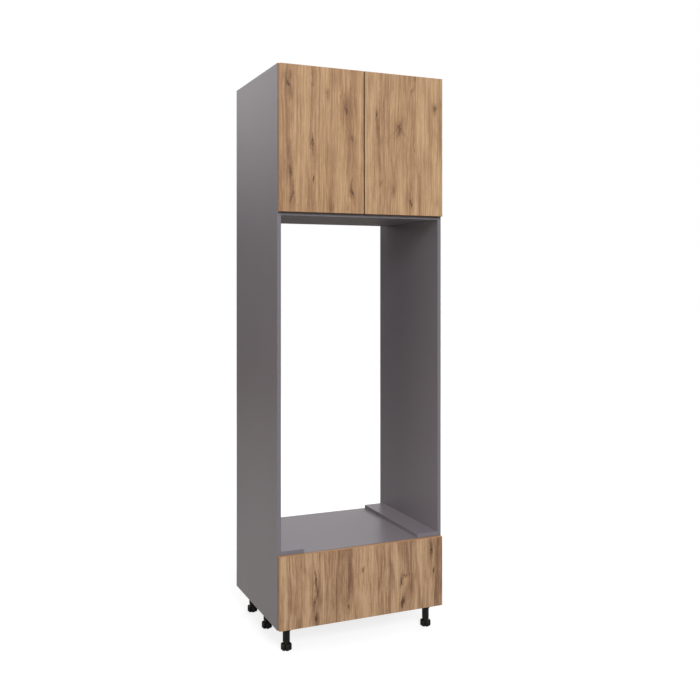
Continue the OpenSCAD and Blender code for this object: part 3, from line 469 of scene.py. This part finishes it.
def oak_front(node, seed, contrast, cast, marks, meeting=None, calm=0.0):
    """Dresses one oak front. Seed picks its stretch of grain, contrast is the strength of the
    figure, cast is the tone that it leans to, and calm weakens its year lines. Meeting is the side
    in the narrow gap between the doors. Its edge band and arris carry painted shade, a dark tone
    for the shade in that gap, which also shows when the doors are open. A mark is (x, z, half
    width, half height, slant, halo, core)."""
    low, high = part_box(node)
    material, tree, place = new_material("oak_" + node)
    x, y, z = axes_of(tree, place)

    # The grain sways; the marks are ragged across it and torn along it, and bend it
    sway = noise_of(tree, scaled(tree, place, 4.0, 4.0, 4.2, seed), 1.0, 3.0, 0.5)
    across = math_of(tree, "MULTIPLY_ADD", sway, 0.026, x)
    ragged = noise_of(tree, scaled(tree, place, 110.0, 110.0, 60.0, seed), 1.0, 3.0, 0.7)
    ragged_x = math_of(tree, "MULTIPLY_ADD", ragged, 0.020, math_of(tree, "SUBTRACT", x, 0.010))
    torn = noise_of(tree, scaled(tree, place, 210.0, 210.0, 20.0, seed), 1.0, 2.0, 0.6)
    torn_z = math_of(tree, "MULTIPLY_ADD", torn, 0.08, math_of(tree, "SUBTRACT", z, 0.04))
    bend, halo, core = 0.0, 0.0, 0.0
    for mark_x, mark_z, half_w, half_h, slant, shade, depth in marks:
        made = group_of(tree, mark, Across=ragged_x, Along=torn_z, Centre_X=mark_x,
                        Centre_Z=mark_z, Half_Width=half_w, Half_Height=half_h, Slant=slant,
                        Halo=shade, Core=depth, Bend_Sum=bend, Halo_Sum=halo, Core_Sum=core)
        bend, halo, core = made["Bend"], made["Halo"], made["Core"]
    across = math_of(tree, "SUBTRACT", across, bend)
    grain_place = put(tree, "CombineXYZ", across, math_of(tree, "ADD", y, seed), z)

    # The figure's tone, darker in streaks inside the halos, and its colour
    look = group_of(tree, figure, Place=grain_place)
    tone = math_of(tree, "MULTIPLY_ADD", look["Tone"], contrast, MEAN_TONE * (1 - contrast))
    lines = math_of(tree, "MULTIPLY_ADD", look["Streak"], -1.0, 0.24)
    tone = math_of(tree, "MULTIPLY_ADD", halo, lines, tone)
    if calm:
        tone = math_of(tree, "MULTIPLY_ADD", look["Rings"], -calm, tone)
    colour = ramp_of(tree, tone, (0.18, OAK_DARK), (0.42, OAK_BROWN), (0.62, OAK_MID),
                     (0.84, OAK_LIGHT))
    colour = blend_of(tree, math_of(tree, "MULTIPLY", look["Warmth"], 0.40), colour, cast)

    # The knots' cores, broken into bits, and the open pores
    speck = noise_of(tree, scaled(tree, place, 420.0, 420.0, 130.0, seed), 1.0, 3.0, 0.7)
    bits = math_of(tree, "MULTIPLY_ADD", speck, 5.2, -1.30)
    ink = put(tree, "Clamp", math_of(tree, "MULTIPLY", core, bits), 0.0, 1.0)
    knot = ramp_of(tree, ink, (0.35, KNOT_BROWN), (0.95, KNOT_DARK_AND_GAP_SHADE))
    colour = blend_of(tree, ink, colour, knot)
    colour = blend_of(tree, math_of(tree, "MULTIPLY", look["Pores"], 0.26), colour, OAK_DARK)

    # The edge band, with its own grain along each edge
    side_inset = math_of(tree, "MINIMUM", math_of(tree, "SUBTRACT", x, low[X]),
                         math_of(tree, "SUBTRACT", high[X], x))
    end_inset = math_of(tree, "MINIMUM", math_of(tree, "SUBTRACT", z, low[Z]),
                        math_of(tree, "SUBTRACT", high[Z], z))
    on_end = math_of(tree, "LESS_THAN", end_inset, side_inset)
    upright = noise_of(tree, scaled(tree, place, 700.0, 700.0, 5.0), 1.0, 3.0, 0.6)
    level = noise_of(tree, scaled(tree, place, 5.0, 700.0, 700.0), 1.0, 3.0, 0.6)
    run = put(tree, "Mix", on_end, None, upright, level)
    banding = ramp_of(tree, run, (0.34, OAK_BROWN), (0.50, OAK_WARM), (0.64, OAK_BAND))
    on_edge = math_of(tree, "LESS_THAN", math_of(tree, "MINIMUM", side_inset, end_inset), BAND_T)
    # Painted shade: the meeting side's edge band and arris are toned dark for the shade in the gap
    # between the doors
    if meeting:
        banding = blend_of(tree, at_side(tree, place, node, meeting, BAND_T), banding, KNOT_DARK_AND_GAP_SHADE)
    colour = blend_of(tree, on_edge, colour, banding)

    roughness = math_of(tree, "MULTIPLY_ADD", look["Fibre"], 0.18, 0.42)
    height = math_of(tree, "SUBTRACT", look["Fibre"], look["Pores"])
    finish_of(tree, colour, roughness, height, GRAIN_DEPTH, Specular_IOR_Level=0.35)
    dress(node, material)
    eased(node, OAK_EASE)


# Each door's meeting side carries painted shade for the gap between the doors
oak_front("left_door", 1.0, 1.08, OAK_WARM, meeting=RIGHT, marks=[
    # a long shadow and a swirl near the left edge
    (-0.342, 2.150, 0.010, 0.200, 0.00, 0.28, 0.00),
    (-0.338, 2.350, 0.015, 0.045, 0.00, 0.45, 0.08),
    (-0.347, 2.343, 0.006, 0.013, -0.49, 0.65, 0.45),
    (-0.337, 2.328, 0.004, 0.007, -0.50, 0.30, 0.85),
    (-0.350, 2.376, 0.005, 0.007, 0.00, 0.52, 0.35),
    (-0.330, 2.374, 0.004, 0.012, 0.25, 0.52, 0.45),
    (-0.329, 2.300, 0.005, 0.016, -0.15, 0.52, 0.35),
    (-0.338, 2.080, 0.004, 0.024, 0.00, 0.52, 0.00),
    # the cleft below them
    (-0.329, 1.935, 0.007, 0.055, -0.06, 0.81, 0.08),
    (-0.334, 1.985, 0.006, 0.014, 0.00, 0.30, 0.75),
    (-0.327, 1.875, 0.004, 0.018, 0.15, 0.45, 0.65),
    (-0.318, 1.902, 0.004, 0.028, -0.20, 0.59, 0.25),
    # a row of knots left of the middle
    (-0.234, 2.093, 0.006, 0.028, -0.07, 0.91, 0.45),
    (-0.235, 2.118, 0.004, 0.008, 0.00, 0.20, 0.70),
    (-0.235, 2.249, 0.004, 0.036, 0.03, 0.52, 0.00),
    (-0.234, 2.343, 0.005, 0.007, 0.00, 0.65, 0.40),
    (-0.235, 2.397, 0.005, 0.013, 0.00, 0.65, 0.20),
    (-0.231, 1.947, 0.004, 0.008, 0.13, 0.65, 0.80),
    (-0.251, 1.884, 0.004, 0.042, -0.01, 0.59, 0.00),
    (-0.238, 1.960, 0.012, 0.130, 0.00, 0.22, 0.00),
    # small marks in the middle
    (-0.169, 2.309, 0.007, 0.011, 0.00, 0.65, 0.25),
    (-0.149, 1.837, 0.008, 0.010, -0.15, 0.65, 0.10),
    (-0.150, 1.900, 0.014, 0.100, 0.00, 0.32, 0.00),
    # knots and streaks near the right edge
    (-0.086, 2.261, 0.007, 0.017, -0.13, 0.85, 0.45),
    (-0.081, 2.247, 0.004, 0.007, 0.00, 0.20, 0.95),
    (-0.041, 2.281, 0.004, 0.028, -0.03, 0.55, 0.00),
    (-0.068, 2.165, 0.013, 0.050, -0.10, 0.45, 0.00),
    (-0.056, 2.129, 0.005, 0.009, -0.57, 0.65, 0.35),
    # a dark cloud at the lower right, with a knot in it
    (-0.058, 1.960, 0.022, 0.100, 0.00, 0.50, 0.06),
    (-0.056, 1.900, 0.007, 0.014, -0.16, 0.72, 0.75),
    (-0.079, 1.837, 0.006, 0.008, 0.38, 0.65, 0.20),
    (-0.062, 1.930, 0.004, 0.020, 0.25, 0.52, 0.35)])
oak_front("right_door", 4.0, 1.1, paint(194, 153, 116), meeting=LEFT, marks=[
    # a pointed knot near the left edge
    (0.061, 2.202, 0.006, 0.034, -0.10, 0.88, 0.25),
    (0.057, 2.233, 0.005, 0.012, 0.00, 0.45, 0.75),
    # the streak that runs through it
    (0.075, 2.024, 0.006, 0.024, -0.11, 0.68, 0.10),
    (0.078, 1.947, 0.005, 0.008, 0.05, 0.72, 0.35),
    (0.077, 1.890, 0.004, 0.013, 0.06, 0.52, 0.00),
    (0.075, 2.312, 0.003, 0.034, 0.04, 0.49, 0.00),
    # the star knot, of short slanted strokes
    (0.168, 2.184, 0.015, 0.021, 0.20, 0.62, 0.06),
    (0.157, 2.190, 0.004, 0.018, 0.80, 0.42, 0.46),
    (0.178, 2.176, 0.004, 0.018, -0.90, 0.42, 0.44),
    (0.168, 2.202, 0.004, 0.016, 0.05, 0.42, 0.40),
    (0.166, 2.172, 0.004, 0.014, 0.50, 0.42, 0.46),
    # streaks below and above it
    (0.150, 2.060, 0.012, 0.100, 0.00, 0.30, 0.00),
    (0.145, 2.009, 0.004, 0.026, 0.05, 0.55, 0.00),
    (0.139, 1.916, 0.006, 0.013, 0.07, 0.65, 0.20),
    (0.137, 2.369, 0.004, 0.014, -0.10, 0.55, 0.00),
    # a knot at the top
    (0.229, 2.357, 0.005, 0.010, 0.54, 0.65, 0.45),
    (0.242, 2.406, 0.005, 0.005, 0.00, 0.59, 0.30),
    # a knot at the bottom, in its shadow
    (0.221, 1.870, 0.007, 0.016, -0.14, 0.78, 0.75),
    (0.235, 1.930, 0.012, 0.100, 0.00, 0.28, 0.00),
    (0.264, 1.901, 0.003, 0.028, 0.00, 0.59, 0.00),
    # fine streaks over it
    (0.216, 2.092, 0.003, 0.026, 0.00, 0.49, 0.00),
    (0.240, 2.099, 0.003, 0.009, 0.05, 0.59, 0.50),
    (0.232, 2.240, 0.013, 0.120, 0.00, 0.25, 0.00),
    (0.260, 1.991, 0.003, 0.008, -0.13, 0.49, 0.00),
    # marks along the right edge
    (0.340, 2.282, 0.008, 0.013, -0.14, 0.75, 0.60),
    (0.338, 2.240, 0.014, 0.060, 0.00, 0.28, 0.00),
    (0.352, 1.876, 0.005, 0.012, 0.05, 0.55, 0.15)])
oak_front("drawer_front", 9.0, 1.66, paint(178, 142, 122), calm=1.20, marks=[
    # a long cleft near the left end, with a pale line where the halo is below 0
    (-0.219, 0.290, 0.004, 0.030, -0.12, 0.55, 0.75),
    (-0.212, 0.235, 0.004, 0.018, 0.17, 0.55, 0.72),
    (-0.226, 0.200, 0.004, 0.020, 0.09, 0.55, 0.72),
    (-0.219, 0.132, 0.009, 0.019, -0.03, 0.85, 0.85),
    (-0.200, 0.195, 0.008, 0.026, 0.00, 0.45, 0.10),
    (-0.228, 0.270, 0.003, 0.060, 0.00, -0.60, 0.00),
    # a dark streak left of the middle
    (-0.067, 0.340, 0.007, 0.040, -0.05, 0.75, 0.30),
    (-0.069, 0.250, 0.005, 0.040, 0.05, 0.65, 0.45),
    (-0.092, 0.240, 0.030, 0.050, 0.00, 0.55, 0.00),
    # small knots beside it
    (-0.006, 0.309, 0.005, 0.012, 0.29, 0.60, 0.80),
    (-0.003, 0.336, 0.002, 0.010, 0.00, -1.00, 0.00),
    (-0.073, 0.161, 0.004, 0.005, 0.00, 0.45, 0.90),
    # a knot with an arch over it
    (0.130, 0.284, 0.008, 0.030, -0.20, 0.60, 0.10),
    (0.176, 0.232, 0.007, 0.018, 0.14, 0.65, 0.85),
    (0.196, 0.258, 0.014, 0.005, 0.00, 0.45, 0.60),
    (0.198, 0.236, 0.010, 0.016, 0.00, -0.60, 0.00),
    (0.184, 0.145, 0.010, 0.023, 0.18, 0.85, 0.88),
    (0.180, 0.370, 0.020, 0.050, 0.00, 0.60, 0.00),
    # a cleft near the right end
    (0.322, 0.350, 0.008, 0.030, 0.02, 0.82, 0.72),
    (0.333, 0.266, 0.006, 0.015, 0.13, 0.74, 0.85),
    (0.346, 0.145, 0.008, 0.025, -0.04, 0.65, 0.30),
    # fine streaks between them
    (0.073, 0.240, 0.005, 0.050, 0.10, 0.50, 0.05),
    (0.039, 0.165, 0.004, 0.030, 0.11, 0.50, 0.00),
    (0.228, 0.224, 0.004, 0.014, 0.00, 0.55, 0.15),
    (-0.364, 0.165, 0.003, 0.030, -0.04, 0.50, 0.00),
    (0.265, 0.173, 0.003, 0.024, 0.02, 0.45, 0.00),
    (-0.265, 0.335, 0.006, 0.006, -0.50, 0.45, 0.10),
    (0.347, 0.310, 0.010, 0.070, 0.00, 0.40, 0.05)])


# Drawer box: grey faced boards joined with dowels, bare chipboard on their upper and lower edges,
# and a thin hardboard bottom, grey inside, let into a groove all round
for node in ("drawer_left_side", "drawer_right_side", "drawer_box_front", "drawer_box_back"):
    faced_board(node, banded=[UPPER], bare=[LOWER, REAR])
thin_board("drawer_bottom", LOWER)


def softened(node, ease, material, turn=28.0):
    """Replaces a CAD piece by its eased copy. Turn is the least angle, in degrees, between two
    faces whose edge is eased."""
    source = nodes[node]
    mesh = bpy.data.meshes.new(node + "_eased")
    bm = bmesh.new()
    bm.from_mesh(source.data)
    bmesh.ops.remove_doubles(bm, verts=bm.verts, dist=0.000004)
    bmesh.ops.dissolve_limit(bm, angle_limit=math.radians(1.0), verts=bm.verts, edges=bm.edges,
                             use_dissolve_boundaries=False, delimit={"NORMAL"})
    sharp = [e for e in bm.edges if len(e.link_faces) == 2
             and e.calc_face_angle() > math.radians(turn)]
    bmesh.ops.bevel(bm, geom=sharp, offset=ease, offset_type="OFFSET", affect="EDGES",
                    segments=2, profile=0.5, material=-1, clamp_overlap=True)
    for face in bm.faces:
        face.smooth = True
    bm.to_mesh(mesh)
    bm.free()
    mesh.set_sharp_from_angle(angle=math.radians(50))
    mesh.materials.append(material)
    piece = bpy.data.objects.new(node + "_eased", mesh)
    bpy.context.scene.collection.objects.link(piece)
    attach(piece, source["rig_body"])
    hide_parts(node)


# Plated metal: soft clouds in tone and gloss, and the faint lines of rolling or turning
plating, take, give = new_group(
    "plated_metal", {"Place": "Vector", "Colour": "Color", "Gloss": "Float"},
    {"Colour": "Color", "Roughness": "Float", "Height": "Float"})
cloud = noise_of(plating, take["Place"], 70.0, 3.0, 0.55)
line = noise_of(plating, scaled(plating, take["Place"], 2600.0, 60.0, 2600.0), 1.0, 2.0)
tone = math_of(plating, "MULTIPLY_ADD", line, 0.12, 0.78)
tone = math_of(plating, "MULTIPLY_ADD", cloud, 0.30, tone)
shade = put(plating, "CombineColor", tone, tone, tone)
plating.links.new(blend_of(plating, 1.0, take["Colour"], shade, "MULTIPLY"), give["Colour"])
gloss = math_of(plating, "MULTIPLY_ADD", line, 0.10, take["Gloss"])
plating.links.new(math_of(plating, "MULTIPLY_ADD", cloud, 0.26, gloss), give["Roughness"])
plating.links.new(line, give["Height"])


def metal(name, colour, gloss, depth=0.000004):
    """A plated metal. Gloss is its roughness where it is smoothest."""
    material, tree, place = new_material(name)
    look = group_of(tree, plating, Place=place, Colour=colour, Gloss=gloss)
    finish_of(tree, look["Colour"], look["Roughness"], look["Height"], depth, 1.0)
    return material


nickel = metal("nickel_plate", paint(204, 201, 194), 0.14)
zinc = metal("zinc_plate", paint(192, 196, 201), 0.24)
cast_zinc = metal("cast_zinc", paint(168, 170, 171), 0.36, 0.00002)
bright_steel = metal("bright_steel", paint(212, 212, 210), 0.08)


# Dowels: beech rods with pressed grooves along them, which let the glue spread. They are glued in
# where two boards meet, and keep the boards in line.
beech, tree, place = new_material("turned_beech")
grain = noise_of(tree, scaled(tree, place, 45.0, 1400.0, 1400.0), 1.0, 2.0, 0.6)
fleck = put(tree, "TexVoronoi", Vector=scaled(tree, place, 160.0, 1300.0, 1300.0), Scale=1.0)
colour = ramp_of(tree, grain, (0.30, paint(176, 138, 96)), (0.70, paint(214, 181, 136)))
colour = blend_of(tree, math_of(tree, "LESS_THAN", fleck, 0.20), colour, paint(158, 116, 76))
finish_of(tree, colour, 0.62, grain, 0.00003)
for node in ("wood_dowels", "drawer_dowels"):
    softened(node, 0.0003, beech)


# Cam locks and bolts: die-cast zinc discs in 15 mm bores. Turned with a screwdriver, they pull
# home the heads of turned steel bolts, which are screwed into the next board.
softened("cam_locks", 0.0003, cast_zinc)
softened("cam_bolts", 0.00015, zinc)


# Cupboard hinges: pressed and nickel plated steel, two to a door, with a cross plate screwed to
# the side, an arm that clips on it, two links on riveted pins, and a drawn cup in the door
for node in ("hinge_plates", "hinge_arms", "left_hinge_cups", "right_hinge_cups",
             "left_inner_links", "right_inner_links", "left_outer_links", "right_outer_links"):
    softened(node, 0.0002, nickel)
for node in ("hinge_arm_pins", "left_cup_pins", "right_cup_pins"):
    softened(node, 0.0001, bright_steel)
for node in ("hinge_plate_screws", "hinge_adjusting_screws", "left_cup_screws",
             "right_cup_screws"):
    softened(node, 0.0001, zinc)


# Shelf pins: turned and nickel plated steel with a collar. They are pushed by hand into the rows
# of holes in the sides, and the adjustable shelf lies on them.
softened("shelf_pins", 0.0003, nickel)


# Screws of the backs, oven strips, legs, runners and drawer: cold formed steel, zinc plated and
# cross recessed, driven straight into the boards
for node in ("back_panel_screws", "oven_strip_screws", "leg_screws", "drawer_screws",
             "runner_cabinet_screws"):
    softened(node, 0.0001, zinc)


# Drawer runners: three cold rolled zinc plated profiles to a side, telescoping on rows of
# polished balls, which run in pressed strip cages
for node in ("runner_cabinet_profiles", "runner_middle_profiles", "runner_drawer_profiles"):
    softened(node, 0.0002, zinc)
for node in ("outer_ball_cages", "inner_ball_cages"):
    softened(node, 0.0001, bright_steel)


# Legs: injection moulded black plastic, a flanged tube screwed under the bottom panel and a
# lobed foot whose thread screws in and out of it. Finely grained, glossier where it was pressed.
black, tree, place = new_material("moulded_black")
grain = noise_of(tree, place, 1700.0, 2.0, 0.6)
cloud = noise_of(tree, place, 60.0, 2.0)
colour = ramp_of(tree, cloud, (0.35, paint(9, 9, 9)), (0.65, paint(17, 17, 16)))
roughness = math_of(tree, "MULTIPLY_ADD", grain, 0.16, 0.30)
roughness = math_of(tree, "MULTIPLY_ADD", cloud, 0.18, roughness)
finish_of(tree, colour, roughness, grain, 0.00002, Specular_IOR_Level=0.35)
softened("leg_bodies", 0.0004, black)
for row in ("front", "middle", "rear"):
    for side in ("left", "right"):
        softened(row + "_" + side + "_foot", 0.0006, black, 34.0)


# Bumpers: soft clear plastic domes with a sticky back, pressed on behind the doors' closing
# corners and behind the drawer front, where they take the knock of closing
clear, tree, place = new_material("clear_bumper")
cloud = noise_of(tree, place, 240.0, 2.0)
colour = ramp_of(tree, cloud, (0.3, paint(206, 208, 202)), (0.7, paint(232, 233, 228)))
roughness = math_of(tree, "MULTIPLY_ADD", cloud, 0.2, 0.22)
finish_of(tree, colour, roughness, cloud, 0.00003, Transmission_Weight=0.35, IOR=1.45)
for node in ("left_door_bumpers", "right_door_bumpers", "drawer_bumpers"):
    softened(node, 0.00015, clear)
